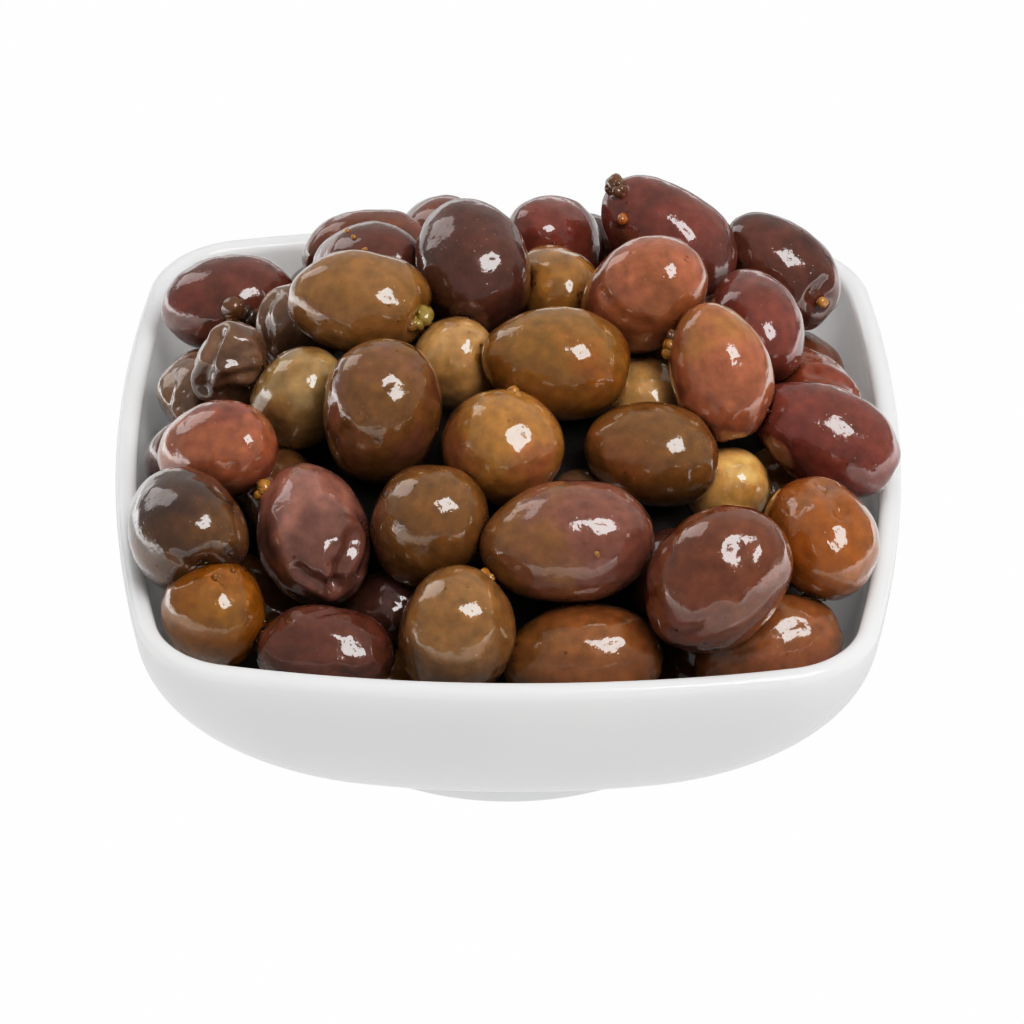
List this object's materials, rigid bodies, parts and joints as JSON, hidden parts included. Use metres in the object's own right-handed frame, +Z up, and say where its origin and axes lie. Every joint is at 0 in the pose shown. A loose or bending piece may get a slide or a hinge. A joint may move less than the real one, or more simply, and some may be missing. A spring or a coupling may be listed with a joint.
{
  "type": "dish of olives",
  "caption": "Small white glazed square dish with rounded corners and a round foot ring, heaped above its lip with glossy brown ripe olives.",
  "frame": {"origin": "centre of the foot ring, on the surface that the dish stands on", "axes": "+Z up out of the dish, -Y towards the front of the heap, +X to the right of it"},
  "size_m": [0.14, 0.14, 0.0853],
  "materials": {
    "porcelain": "smooth white clear glaze, high gloss",
    "olive_skin": "wet oiled olive skin, maroon to olive brown, mottled, high gloss"
  },
  "bodies": {
    "root": {"dish": "porcelain", "olives": "olive_skin"}
  },
  "joints": []
}
